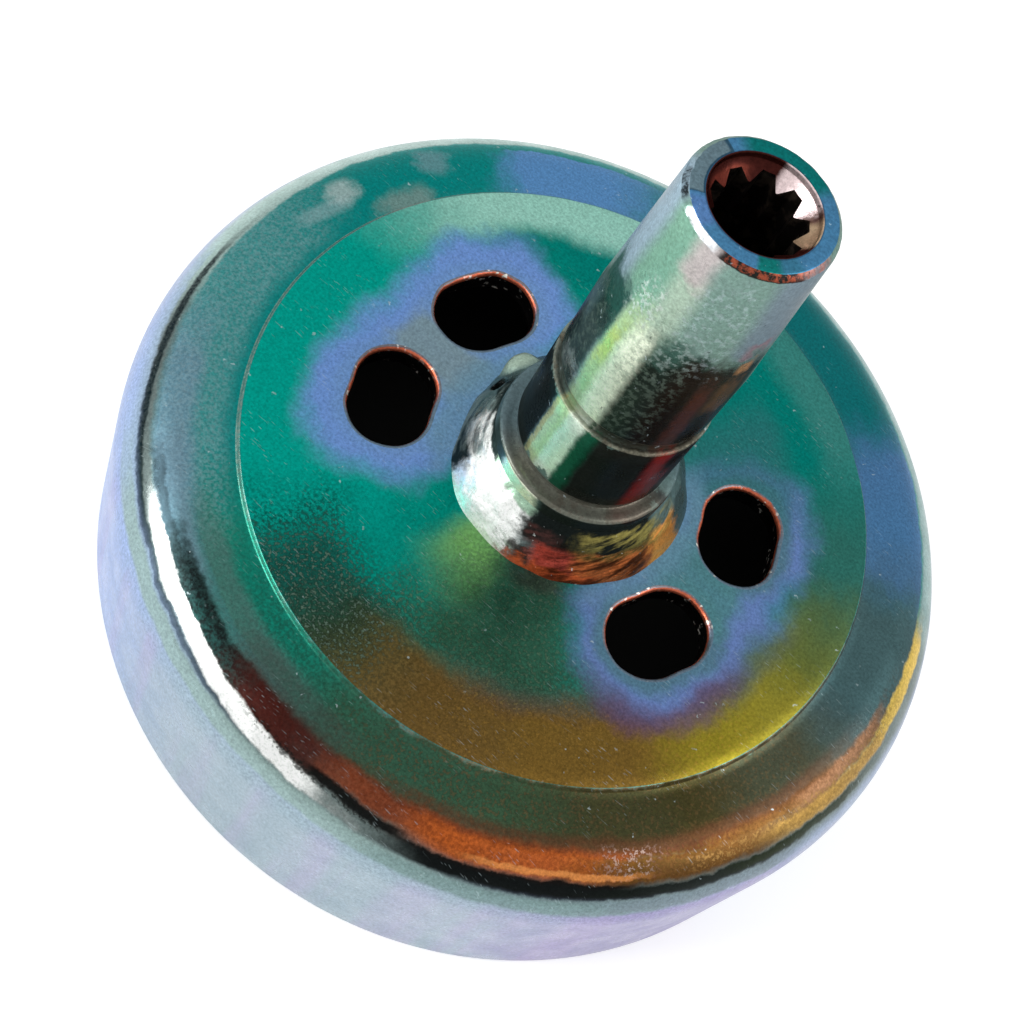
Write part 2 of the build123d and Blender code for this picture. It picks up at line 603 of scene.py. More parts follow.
def dab_group():
    """Node group that lays one dab over the colour below it."""
    group = bpy.data.node_groups.new("plating_dab", "ShaderNodeTree")
    for name in ("Below", "Tint"):
        group.interface.new_socket(name, in_out="INPUT", socket_type="NodeSocketColor")
    for name in ("Turn", "Run", "Grit", *[field.capitalize() for field in Dab._fields[1:]]):
        group.interface.new_socket(name, in_out="INPUT", socket_type="NodeSocketFloat")
    group.interface.new_socket("Colour", in_out="OUTPUT", socket_type="NodeSocketColor")
    n = Nodes(group)
    into = n.add("NodeGroupInput").outputs
    ahead = n.math("WRAP", n.minus(into["Turn"], into["Angle"]), 180.0, -180.0)
    off = n.math("ABSOLUTE", ahead)
    reach = n.plus(into["Spread"], into["Fade"])
    run = n.minus(into["Run"], n.times(ahead, into["Slope"]))
    half = n.times(n.minus(into["High"], into["Low"]), 0.5)
    out = n.math("MINIMUM", n.math("DIVIDE", off, reach), 1.0)
    narrow = n.times(half, into["Taper"], out, out)
    low = n.plus(into["Low"], narrow)
    high = n.minus(into["High"], narrow)
    gaps = n.math("MINIMUM", n.times(into["Broken"], n.smooth(into["Grit"], 0.12, -0.12)), 1.0)
    share = n.times(
        n.smooth(off, reach, into["Spread"]), into["Strength"],
        n.smooth(run, n.minus(low, into["Soft"]), low),
        n.smooth(run, n.plus(high, into["Soft"]), high),
        n.minus(1.0, gaps))
    n.add("NodeGroupOutput", {"Colour": n.mix(share, into["Below"], into["Tint"])})
    return group


class Plating(Nodes):
    """Material of plated steel: painted colour, with painted highlights, shade and reflections in it,
    flecks, uneven gloss and fine bumps.
    """

    group = dab_group()

    def __init__(self, name, tint, turn_wander, turn_rag, grit_size=0.35):
        material = bpy.data.materials.new(name)
        material.use_nodes = True
        super().__init__(material.node_tree)
        self.material = material
        self.shader = self.tree.nodes["Principled BSDF"]
        local = self.add("ShaderNodeTexCoord").outputs["Object"]
        self.place = self.vector("SCALE", {0: local, "Scale": 1 / MM})
        self.x, self.y, self.z = self.add("ShaderNodeSeparateXYZ", {0: self.place}).outputs
        self.radius = self.length(self.x, self.y)
        self.angle = self.math("DEGREES", self.math("ARCTAN2", self.y, self.x))
        self.wander = self.minus(self.noise(self.place, 5.0, 4.0), 0.5)
        self.rag = self.minus(self.noise(self.place, 1.3, 5.0, 0.7), 0.5)
        self.grit = self.minus(self.noise(self.place, grit_size, 4.0, 0.65), 0.5)
        self.turn = self.stray(self.angle, turn_wander, turn_rag)
        shove = self.add("ShaderNodeTexNoise", {"Vector": self.place, "Scale": 1 / 0.5, "Detail": 1.0})
        self.shove = self.vector("SCALE", {0: shove.outputs["Color"], "Scale": 0.9})
        self.paint = colour(*tint)

    def stray(self, value, wander, rag):
        """Move a value by broad and by fine noise, so that what it bounds has a ragged edge."""
        value = self.math("MULTIPLY_ADD", self.wander, wander, value)
        return self.math("MULTIPLY_ADD", self.rag, rag, value)

    def dabs(self, run, dabs):
        """Lay dabs one over the other."""
        for s in dabs:
            inputs = {field.capitalize(): value for field, value in s._asdict().items()}
            inputs.update(Tint=colour(*s.tint), Turn=self.turn, Run=run, Grit=self.grit)
            inputs["Below"] = self.paint
            self.paint = self.add("ShaderNodeGroup", inputs, node_tree=self.group).outputs["Colour"]

    def cover(self, share, tint):
        """Lay a colour over the paint where its share is."""
        self.paint = self.mix(share, self.paint, colour(*tint))

    def cloud(self, size, low, high, tint, strength):
        """Lay soft clouds of a colour where the noise is high."""
        self.cover(self.times(self.smooth(self.noise(self.place, size), low, high), strength), tint)

    def flecks(self, size, width, tint, strength):
        """Small ragged marks, one to a cell of this size, left out of some parts of the surface."""
        place = self.vector("ADD", {0: self.place, 1: self.shove})
        cell = self.add("ShaderNodeTexVoronoi", {"Vector": place, "Scale": 1 / size, "Randomness": 1.0})
        near = self.smooth(cell.outputs["Distance"], width, width * 0.5)
        self.lay(near, size * 3.1, tint, strength)

    def spot(self, middle, reach, tint, strength):
        """Round mark of a colour about a point."""
        inputs = {0: self.place, 1: middle}
        far = self.add("ShaderNodeVectorMath", inputs, operation="DISTANCE").outputs["Value"]
        near = self.smooth(self.stray(far, 0.8, 0.8), reach, reach * 0.6)
        self.cover(self.times(near, strength), tint)

    def scratches(self, turn, width, length, tint, strength):
        """Short fine lines across the surface at an angle to the X axis."""
        scale = (1 / length, 1 / width, 1 / length)
        inputs = {"Vector": self.place, "Rotation": (0, 0, radians(turn)), "Scale": scale}
        place = self.add("ShaderNodeMapping", inputs, vector_type="POINT").outputs[0]
        self.lay(self.smooth(self.noise(place, 1.0, 1.0, 0.5), 0.70, 0.76), 6.0, tint, strength)

    def lay(self, share, spacing, tint, strength):
        """Lay a colour where its share is, but only in some parts of the surface."""
        some = self.smooth(self.noise(self.place, spacing, 2.0), 0.46, 0.60)
        self.cover(self.times(share, some, strength), tint)

    def finish(self, metal, rough, bumps, glancing=0.4):
        """Set the shader: metal share, uneven roughness, bumps, and brightness at a glancing angle."""
        bump_size, bump_height = bumps
        grain = self.noise(self.place, 0.28, 3.0, 0.7)
        inputs = {"Value": grain, "From Min": 0.3, "From Max": 0.7, "To Min": 0.5, "To Max": 1.5}
        shade = self.add("ShaderNodeMapRange", inputs).outputs[0]
        smear = self.noise(self.place, 3.5, 3.0, 0.6)
        height = self.plus(self.noise(self.place, bump_size, 4.0, 0.6), self.times(grain, 0.25))
        inputs = {"Height": height, "Strength": 1.0, "Distance": bump_height * MM}
        bump = self.add("ShaderNodeBump", inputs)
        settings = {
            "Base Color": self.mix(0.5, self.paint, shade, "MULTIPLY"),
            "Metallic": metal,
            "Specular IOR Level": 0.2,
            "Specular Tint": (glancing, glancing, glancing, 1.0),
            "Roughness": self.smooth(smear, 0.3, 0.7, *rough),
            "Normal": bump.outputs["Normal"],
        }
        for name, value in settings.items():
            self.feed(self.shader.inputs[name], value)
        return self.material


disc_dabs = [
    Dab((0, 164, 148), 200, 28, 34, 20, 31, 4, 0.8),
    Dab((0, 122, 114), 60, 36, 40, 15, 31, 3, 0.8),
    Dab((0, 120, 112), 124, 16, 24, 22, 25, 3, 0.6),
    Dab((160, 214, 198), 126, 16, 34, 28, 31.5, 3.2),
    Dab((98, 148, 144), 66, 10, 24, 29, 31.5, 3.5, 0.35),
    Dab((58, 104, 94), 20, 8, 22, 26, 31.5, 3, 0.7),
    Dab((58, 96, 72), 288, 10, 26, 14, 22, 4, 0.85),
    Dab((126, 180, 106), 265, 4, 14, 10, 13.5, 6.5),
    Dab((84, 54, 46), 292, 6, 12, 10, 12.2, 2, 0.6),
    Dab((26, 84, 74), 253, 5, 15, 26, 31.5, 4),
    Dab((54, 72, 50), 264, 4, 11, 26, 31.5, 3.5, 0.85),
    # Gold film on the near side, partly painted reflection.
    Dab((126, 92, 30), 306, 26, 24, 25.8, 31.5, 3, 0.95),
    Dab((108, 84, 46), 282, 4, 16, 26, 31.5, 3, 0.7),
    Dab((146, 134, 38), 347, 10, 20, 26.4, 31.5, 3, 0.95),
    Dab((88, 104, 50), 8, 4, 14, 27, 31.5, 3, 0.7),
    Dab((84, 104, 92), 350, 8, 12, 21, 25.5, 2.5, 0.75),
    Dab((100, 62, 54), 316, 20, 24, 23.8, 24.4, 1.8, 0.55),
    Dab((6, 24, 18), 250, 10, 16, 24, 31.5, 4, 0.75, broken=1),
    Dab((40, 40, 22), 292, 24, 24, 22, 31.5, 4, 0.4, broken=1),
    Dab((20, 50, 40), 288, 14, 20, 12, 22, 4, 0.5, broken=1),
    Dab((128, 158, 140), 255, 9, 10, 25.5, 31.5, 4, 0.4, broken=4),
    Dab((190, 144, 64), 312, 26, 12, 25.5, 31.5, 3, 0.25, broken=5),
    Dab((130, 160, 130), 284, 18, 14, 13, 22, 4, 0.25, broken=4),
]


def disc_plating():
    """Disc on the cup's top: teal film with blue round the holes, and gold film, partly painted
    reflection, on the near side.
    """
    m = Plating("disc_plating", (0, 148, 132), 12.0, 5.0)
    m.cloud(9.0, 0.40, 0.65, (0, 130, 118), 0.6)
    m.dabs(m.stray(m.radius, 3.5, 1.5), disc_dabs)
    halo(m)
    wear(m)
    return m.finish(metal=0.85, rough=(0.26, 0.40), bumps=(1.1, 0.020))


def wear(m):
    """Fine scratches and flecks on the outside of the cup."""
    m.scratches(35, 0.13, 1.5, (190, 208, 212), 0.22)
    m.scratches(118, 0.15, 1.0, (190, 208, 212), 0.25)
    m.flecks(1.7, 0.11, (196, 214, 218), 0.5)


# Painted highlight along the rounded edge of the disc's step: pale all round, gold on the near right.
step_highlight_dabs = [
    Dab((132, 152, 142), *all_round, 31.12, 31.4, 0.06, broken=0.6),
    Dab((168, 132, 84), 326, 30, 24, 31.12, 31.4, 0.06, 0.8, broken=0.6),
]
ledge_dabs = [
    Dab((94, 142, 198), 126, 9, 8, 31.3, 37, 0.3),
    Dab((70, 130, 145), 104, 6, 12, 31.3, 38, 0.3, 0.8),
    Dab((10, 108, 112), 74, 22, 14, 31.3, 38, 0.3),
    Dab((78, 120, 168), 38, 9, 12, 31.3, 38, 0.3),
    Dab((72, 92, 96), 8, 10, 18, 31.3, 38, 0.3),
    Dab((80, 74, 52), 340, 8, 14, 31.3, 37.5, 0.3),
    Dab((70, 62, 28), 314, 12, 20, 31.3, 37, 0.3, 0.95),
    Dab((58, 88, 64), 284, 12, 20, 31.3, 36.5, 0.3),
    Dab((20, 126, 104), 250, 10, 18, 31.3, 35.5, 0.3, 0.85),
    Dab((30, 44, 34), 286, 30, 22, 31.6, 37, 1.5, 0.45, broken=1),
    Dab((72, 148, 148), 204, 14, 22, 33.5, 38, 2.4, 0.7),
    Dab((108, 142, 162), 220, 8, 16, 36, 38, 1.8, 0.8),
    Dab((84, 114, 110), 250, 8, 14, 34.2, 36.8, 1.2, 0.6),
    Dab((68, 72, 68), 264, 6, 10, 34.6, 36.4, 1.2, 0.55),
    Dab((150, 178, 184), 206, 24, 16, 33.5, 38.2, 2, 0.3, broken=1),
    Dab((140, 104, 64), 312, 30, 14, 32, 37, 2, 0.22, broken=4),
    Dab((150, 156, 150), 160, 2, 5, 31.4, 32.4, 1.6, 0.5, slope=-0.1, taper=0.8),
    Dab((136, 160, 172), 151, 1, 3, 35, 36.6, 1.5, 0.45, slope=0.2, taper=0.6),
    Dab((176, 194, 192), 169, 1, 3.4, 34.8, 36.4, 1.3, 0.7, taper=0.9),
    Dab((164, 190, 194), 174, 2, 5, 34.4, 35, 1, 0.4, slope=0.08, taper=0.5),
]
# Corner: film colour with painted reflections in it, as a curved mirror would show them.
corner_dabs = [
    Dab((104, 118, 116), *all_round, 39.2, 60, 1, 1),
    # Pale far rim: painted reflection of the pale surroundings.
    Dab((162, 188, 182), 150, 40, 16, 38.6, 60, 0.5, 0.95),
    Dab((136, 166, 164), 68, 38, 16, 38.8, 60, 0.8, 0.95),
    Dab((144, 166, 184), 224, 26, 14, 40.4, 44, 0.5, 0.95),
    Dab((112, 142, 158), 232, 8, 9, 36.6, 38.2, 1, 0.7),
    # Dark lines inside the highlight: painted dark reflection.
    Dab((58, 76, 84), 234, 5, 9, 37.8, 38.6, 0.4, 0.85),
    Dab((32, 48, 44), 254, 11, 9, 36.9, 38.8, 0.7, 0.85),
    Dab((14, 20, 20), 254, 10, 9, 37, 38.5, 0.8, 0.95, taper=0.3, broken=0.6),
    # Red, orange and gold bands: film colour, partly painted reflection.
    Dab((70, 28, 22), 268, 5, 13, 36.9, 38.6, 1.1),
    Dab((136, 62, 28), 285, 4, 13, 37, 38.2, 1),
    Dab((190, 94, 36), 302, 9, 12, 37.1, 38.8, 1.1, 0.95),
    Dab((102, 68, 20), 325, 8, 12, 37.4, 39.2, 0.9, 0.95),
    Dab((116, 80, 38), 341, 6, 10, 37, 38.8, 0.8),
    Dab((148, 108, 78), 355, 5, 8, 37.1, 38, 0.5),
    Dab((196, 156, 82), 353, 8, 10, 38.5, 39.4, 0.5),
    Dab((226, 192, 90), 12, 5, 10, 38.2, 39.4, 0.4, 0.95, taper=0.3),
    Dab((92, 48, 32), 318, 26, 22, 35.9, 36.5, 1, 0.55),
    Dab((84, 36, 24), 306, 24, 14, 36.8, 39, 0.8, 0.4, broken=1),
    Dab((232, 152, 84), 307, 7, 9, 38.6, 38.9, 0.25, 0.7, taper=0.3),
    Dab((212, 170, 96), 344, 14, 10, 38, 38.9, 0.6, 0.4, broken=2),
    Dab((70, 44, 22), 350, 14, 14, 37, 39.2, 0.6, 0.4, broken=1),
    Dab((206, 190, 180), 317, 1.5, 4, 36.6, 38.4, 0.8, 0.4, broken=3),
    # Thin dark lines along the corner: painted dark reflection.
    Dab((2, 26, 32), 212, 18, 12, 39.5, 39.95, 0.35, 1, slope=0.033, taper=0.5, broken=0.2),
    Dab((22, 40, 34), 244, 12, 14, 40.2, 40.6, 0.25, 0.8, slope=0.012),
    Dab((10, 12, 12), 279, 5, 7, 38.8, 39.2, 0.4, 0.95, slope=0.03),
    Dab((5, 7, 8), 302, 12, 11, 39.5, 40.9, 0.4, 0.97, taper=0.3),
    Dab((16, 22, 18), 328, 10, 10, 40, 40.8, 0.35, 0.95, taper=0.3),
    Dab((34, 44, 22), 345, 6, 12, 40, 40.6, 0.4, taper=0.4),
    # White lens across the corner: painted highlight.
    Dab((240, 244, 242), 243, 5, 10, 38.75, 39.7, 0.4, 1, slope=0.01, taper=0.6),
    Dab((252, 255, 252), 262, 7, 12, 39.1, 40.4, 0.4, 1, slope=0.035, taper=0.6),
    Dab((20, 24, 22), 272, 7, 8, 38.8, 39.4, 0.4, 0.8, slope=0.02, broken=1.6),
]
wall_dabs = [
    Dab((146, 162, 192), *all_round, wall_run - 2.6, rim_run, 2.2, 1),
    Dab((148, 170, 212), 226, 14, 30, wall_run - 3.2, rim_run, 2.4, 0.8),
    Dab((148, 168, 176), 278, 16, 34, wall_run - 2.0, rim_run, 1.8, 0.85),
    Dab((146, 136, 178), 324, 8, 20, wall_run - 2.0, rim_run, 1.8, 0.8),
    Dab((140, 164, 160), 258, 24, 20, 41.2, 42.4, 0.6),
    Dab((114, 140, 138), 304, 14, 14, 41.5, 42.6, 0.7),
    Dab((112, 128, 136), 328, 8, 12, 41.4, 42.4, 0.5),
    Dab((152, 174, 176), 90, 60, 60, wall_run - 2.0, rim_run, 1.8, 0.6),
]


def shoulder_plating(first, last):
    """Outside of the cup round its disc: teal ledge; on the corner a painted highlight, painted dark
    reflection lines, and gold and orange film partly painted as reflection; pale wall.

    Each band of the outside has its own material, with the dabs that reach it, to render quickly.
    """
    m = Plating("shoulder_plating", (0, 132, 128), 12.0, 5.0)

    def lay(along, dabs):
        reach = [(s, s.soft + abs(s.slope) * (s.spread + s.fade) + band_slack) for s in dabs]
        m.dabs(along, [s for s, slack in reach if s.low - slack < last and s.high + slack > first])

    bent = m.math("ARCTAN2", m.over(m.radius, corner_start_r), m.over(m.z, corner_z))
    past_top = m.plus(m.times(bent, corner_r), m.over(corner_z, m.z))
    run = m.plus(m.math("MINIMUM", m.radius, corner_start_r), past_top)
    edge = m.stray(run, 1.2, 0.9)
    lay(run, step_highlight_dabs)
    lay(edge, ledge_dabs)
    lay(edge, corner_dabs)
    lay(m.stray(run, 1.0, 0.5), wall_dabs)
    upright = m.vector("MULTIPLY", {0: m.place, 1: (1.0, 1.0, 0.05)})
    streak = m.smooth(m.noise(upright, 4.5, 3.0), 0.44, 0.68)
    m.cover(m.times(streak, m.smooth(run, 42.0, 45.0), 0.4), (168, 152, 194))
    wear(m)
    return m.finish(metal=0.85, rough=(0.26, 0.40), bumps=(1.1, 0.020), glancing=1.0)


def halo(m):
    """Blue film round each pair of access holes, with grey-green next to the holes."""
    across = m.minus(m.math("ABSOLUTE", m.x), hole_circle_r * cos(radians(hole_half_angle)))
    far = m.length(m.over(m.math("ABSOLUTE", m.y), 8.0), across)
    far = m.math("MULTIPLY_ADD", m.smooth(m.x, 17.0, 23.0), 0.6, m.stray(far, 5.0, 1.2))
    side = m.smooth(m.x, -6.0, 6.0)
    blue = m.mix(side, colour(116, 152, 218), colour(106, 132, 190))
    m.paint = m.mix(m.times(m.smooth(far, 9.8, 6.2), 0.95), m.paint, blue)
    skirt = m.times(m.smooth(far, 10.6, 8.8), m.smooth(far, 5.6, 8.0))
    lower_right = m.times(m.smooth(m.x, 11.0, 18.0), m.smooth(m.y, -2.0, -8.0))
    m.cover(m.times(skirt, lower_right, 0.65), (96, 66, 92))
    near = m.smooth(m.stray(hole_edge(m), 2.5, 1.2), 2.3, 0.6)
    near = m.times(near, m.smooth(side, 0.0, 1.0, 0.25, 0.75))
    m.paint = m.mix(near, m.paint, m.mix(side, colour(112, 150, 168), colour(80, 122, 128)))
    m.dabs(m.stray(m.radius, 2.0, 0.8), [
        Dab((50, 116, 118), 48, 8, 16, 12, 22, 3, 0.7),
    ])
    between = m.smooth(m.stray(m.math("ABSOLUTE", m.y), 4.0, 1.8), 4.6, 1.6)
    inner = m.times(between, m.smooth(far, 6.4, 3.4))
    grey = m.mix(side, colour(128, 152, 158), colour(82, 134, 140))
    m.paint = m.mix(m.times(inner, 0.9), m.paint, grey)
    hub = m.times(m.smooth(m.stray(m.radius, 3.0, 1.2), 14.8, 12.2), m.smooth(far, 9.0, 6.0))
    m.cover(m.times(hub, 0.75), (108, 150, 174))


def hole_edge(m):
    """Distance from the edge of the nearest access hole."""
    turn = radians(hole_half_angle)
    dx = m.minus(m.math("ABSOLUTE", m.x), hole_circle_r * cos(turn))
    dy = m.minus(m.math("ABSOLUTE", m.y), hole_circle_r * sin(turn))
    along = m.minus(m.times(dy, cos(turn)), m.times(dx, sin(turn)))
    across = m.plus(m.times(dx, cos(turn)), m.times(dy, sin(turn)))
    past = m.over(m.math("ABSOLUTE", along), hole_reach)
    return m.minus(m.length(past, across), hole_width / 2)


def inside_plating():
    """Inside of the cup: duller zinc with a yellow cast."""
    m = Plating("inside_plating", (150, 160, 150), 10.0, 3.0)
    m.cloud(8.0, 0.42, 0.6, (168, 160, 112), 0.6)
    m.cloud(14.0, 0.45, 0.65, (112, 150, 146), 0.6)
    m.flecks(3.0, 0.12, (60, 66, 60), 0.6)
    return m.finish(metal=0.85, rough=(0.32, 0.48), bumps=(1.0, 0.016))


def hole_edge_plating():
    """Walls of the holes: a rolled edge, copper on one side and grey on the other, painted shade below,
    and painted glints.
    """
    # Dark base colour: painted shade down inside the holes.
    m = Plating("hole_edge_plating", (22, 20, 20), 10.0, 3.0)
    depth = m.stray(m.z, 0.3, 0.2)
    m.dabs(depth, [
        Dab((212, 112, 82), *all_round, disc_top - 0.46, 90, 0.15, 0.95),
        Dab((96, 120, 130), *all_round, disc_top - 0.05, 90, 0.05, 0.85),
    ])
    middle_x, middle_y, _ = polar(hole_circle_r, radians(hole_half_angle), 0)
    dx = m.minus(m.x, m.times(m.math("SIGN", m.x), middle_x))
    dy = m.minus(m.y, m.times(m.math("SIGN", m.y), middle_y))
    across, along, _ = polar(1.0, copper_side, 0)
    towards = m.plus(m.times(dx, across), m.times(dy, along))
    away = m.smooth(m.stray(towards, 3.0, 1.0), 0.5, -1.5)
    rolled = m.smooth(depth, disc_top - 0.30, disc_top - 0.18)
    m.cover(m.times(away, rolled), (104, 124, 140))
    # Bright flecks: painted glints on the hole edges.
    m.flecks(0.9, 0.30, (250, 246, 236), 0.95)
    return m.finish(metal=0.85, rough=(0.25, 0.5), bumps=(0.5, 0.05))


# Height ranges of the bearing seat: its dark dabs are painted dark reflection, its bright ones painted
# highlight.
seat, bright = (30, 40.6, 0.3), (31.5, 40.6, 0.5)
shaft_dabs = [
    # Pale upper film: partly painted reflection.
    Dab((122, 168, 146), 244, 8, 20, 57, 70, 2),
    Dab((156, 180, 196), 206, 10, 18, 55, 70, 2),
    Dab((176, 198, 178), 267, 4, 14, 54, 62, 3, 0.85),
    Dab((190, 178, 178), 266, 4, 14, 63, 70, 2.5, 0.85),
    Dab((118, 134, 146), 340, 12, 16, 57, 70, 2),
    # Dark flanks: painted dark reflection, with brown and red film.
    Dab((14, 72, 62), 222, 17, 7, 51.5, 55, 2, 0.92),
    Dab((48, 62, 60), 216, 22, 6, 42, 51, 2.4, 0.92),
    Dab((14, 34, 34), 206, 8, 8, 44, 46.5, 1.5, 0.8),
    Dab((84, 108, 112), 208, 6, 8, 49, 51, 1.6, 0.6),
    Dab((36, 76, 66), 290, 18, 10, 52, 54.5, 2.4, 0.85),
    Dab((26, 34, 28), 290, 15, 11, 42, 52, 2.6, 0.95),
    Dab((46, 62, 52), 280, 3, 6, 42, 48, 2.6, 0.7),
    Dab((34, 26, 20), 326, 26, 12, 42, 53.5, 3, 0.97),
    Dab((88, 46, 36), 320, 3, 6, 42, 50, 3.5, 0.7),
    Dab((104, 72, 46), 338, 5, 8, 48, 51.5, 1.5, 0.8),
    Dab((196, 140, 92), 339, 3, 5, 53.6, 54.4, 1, 0.75),
    Dab((150, 100, 106), 339, 5, 8, 56.4, 57.2, 1, 0.55),
    # Light streak: painted highlight.
    Dab((182, 206, 156), 253, 6, 7, 42, 54, 4, 0.97),
    Dab((196, 208, 120), 249, 2, 5, 49.5, 52, 2, 0.8),
    Dab((244, 253, 228), 264, 4, 9, 42, 53, 4, 0.97),
    Dab((90, 120, 96), 264, 10, 8, 50, 57, 2.5, 0.3, broken=1.4),
    Dab((196, 212, 220), 296, 16, 10, 54, 63, 2.5, 0.25, broken=3),
    Dab((214, 224, 218), 252, 8, 8, 55.6, 58, 1.5, 0.6, taper=0.3, broken=2),
    Dab((150, 160, 156), 228, 12, 6, 43, 44.2, 0.8, 0.7, slope=0.03, taper=0.5, broken=0.7),
    Dab((132, 152, 138), 284, 14, 10, 43, 56, 2, 0.28, broken=1.6),
    Dab((132, 152, 138), 222, 14, 8, 43, 52, 2, 0.22, broken=1.8),
    Dab((10, 12, 12), 216, 22, 5, *seat, 0.95),
    Dab((200, 216, 170), 252, 6, 4, *bright, 0.97),
    Dab((232, 248, 230), 262, 5, 5, *bright, 0.97),
    Dab((12, 92, 66), 276, 4, 5, *seat, 0.95),
    Dab((20, 16, 10), 304, 20, 8, *seat, 0.95),
    Dab((26, 12, 10), 342, 20, 6, *seat, 0.97),
    Dab((134, 26, 16), 328, 2, 8, 30, 40.6, 1),
    Dab((110, 28, 18), 338, 3, 7, 30, 35.5, 1.5, 0.8),
    Dab((206, 190, 120), 243, 1, 2, *bright, 0.6),
]
groove_edge = dict(soft=0.05, strength=0.5, broken=0.6)
collar = (disc_top, shoulder_z - 0.3, 0.1)
relief = (shoulder_z - 0.2, relief_top_z + 0.2, 0.15)
shaft_line_dabs = [
    Dab((64, 62, 52), *all_round, seat_end_z, sleeve_z, 0.08, 0.55),
    Dab((150, 146, 128), *all_round, seat_end_z - 0.20, seat_end_z - 0.02, 0.05, 0.5, broken=0.6),
    Dab((150, 146, 128), *all_round, sleeve_z - 0.02, sleeve_z + 0.18, **groove_edge),
    Dab((104, 102, 92), 270, 70, 40, *relief),
    Dab((88, 110, 116), 120, 90, 40, *relief),
    # Pale line at the relief's edge: painted highlight.
    Dab((206, 204, 194), 236, 40, 24, relief_top_z - 0.1, relief_top_z + 0.14, 0.06, 0.8, broken=0.6),
    # Collar: painted highlight at the front and painted dark reflection to the right.
    Dab((86, 110, 114), 176, 30, 20, *collar),
    Dab((48, 62, 58), 228, 8, 10, *collar),
    Dab((236, 238, 214), 257, 13, 5, *collar, 0.97),
    Dab((24, 24, 20), 312, 34, 10, *collar, 0.95),
    Dab((84, 52, 32), 358, 5, 8, *collar),
]
shaft_edge_dabs = [
    # White on the end's chamfer: painted highlight.
    Dab((244, 248, 252), 250, 14, 6, shaft_end - 0.45, 90, 0.12, 1, broken=0.3),
    Dab((24, 16, 14), 304, 30, 5, shaft_end - 0.50, 90, 0.12, 0.95),
    Dab((168, 84, 60), 306, 28, 8, shaft_end - 0.40, 90, 0.12, 0.85, broken=1.4),
    Dab((170, 112, 98), 346, 10, 10, shaft_end - 0.40, 90, 0.12, 0.8, broken=0.6),
    Dab((14, 14, 16), 211, 10, 6, shaft_end - 0.50, shaft_end - 0.15, 0.12, 0.95, broken=0.7),
]


def shaft_plating():
    """Outside of the shaft: green and grey film with a painted highlight streak, painted reflection
    above it and painted dark reflection on the mottled flanks.
    """
    m = Plating("shaft_plating", (118, 148, 138), 7.0, 6.0, 0.55)
    run = m.stray(m.z, 4.0, 5.0)
    m.cloud(7.0, 0.42, 0.64, (132, 150, 152), 0.5)
    m.dabs(run, shaft_dabs)
    m.dabs(m.stray(m.z, 0.0, 0.15), shaft_line_dabs)
    m.dabs(m.stray(m.z, 0.15, 0.35), shaft_edge_dabs)
    m.flecks(1.2, 0.13, (196, 212, 216), 0.6)
    m.flecks(0.9, 0.13, (14, 24, 22), 0.7)
    return m.finish(metal=0.6, rough=(0.24, 0.40), bumps=(0.8, 0.030))


end_dabs = [
    Dab((0, 116, 110), 102, 32, 18, 0, 9, 0.2, 0.95),
    Dab((0, 120, 108), 308, 8, 5, 0, 9, 0.2),
    Dab((56, 120, 144), 326, 6, 8, 0, 9, 0.2, 0.7),
    Dab((98, 136, 196), 236, 8, 10, 0, 9, 0.2, 0.7),
    Dab((40, 62, 70), 188, 31, 1.5, 4.75, 9, 0.1, 0.8),
    Dab((108, 132, 142), 189, 28, 3, 4.9, 9, 0.1, 0.95),
    Dab((34, 66, 92), *all_round, 0, 4.72, 0.1, 0.6),
]


def end_plating():
    """End face of the shaft: slate blue with teal arcs and a worn grey patch."""
    m = Plating("end_plating", (74, 130, 170), 8.0, 3.0)
    m.dabs(m.stray(m.radius, 0.4, 0.15), end_dabs)
    m.flecks(0.9, 0.12, (180, 210, 225), 0.6)
    return m.finish(metal=0.8, rough=(0.28, 0.42), bumps=(0.6, 0.02))


mouth_dabs = [
    Dab((104, 48, 38), 170, 24, 16, 0, 4, 0.3),
    # Pale pink side: painted highlight.
    Dab((240, 218, 218), 72, 24, 9, 0, 9, 0.2, 1),
    Dab((120, 92, 84), 40, 5, 7, 0, 9, 0.2, broken=0.8),
    Dab((200, 172, 140), 18, 12, 10, 0, 9, 0.2),
]


def mouth_plating():
    """Countersunk mouth of the socket: copper on one side, a painted highlight on the other."""
    m = Plating("mouth_plating", (62, 26, 22), 8.0, 10.0, 0.4)
    m.dabs(m.stray(m.radius, 0.3, 0.3), mouth_dabs)
    m.flecks(0.7, 0.2, (36, 22, 22), 0.8)
    return m.finish(metal=0.8, rough=(0.25, 0.4), bumps=(0.5, 0.03))


def socket_steel():
    """Broached teeth deep in the socket: dark steel."""
    m = Plating("socket_steel", (34, 30, 28), 8.0, 4.0)
    m.cloud(1.5, 0.5, 0.62, (110, 96, 84), 0.4)
    return m.finish(metal=0.85, rough=(0.3, 0.5), bumps=(0.5, 0.02))


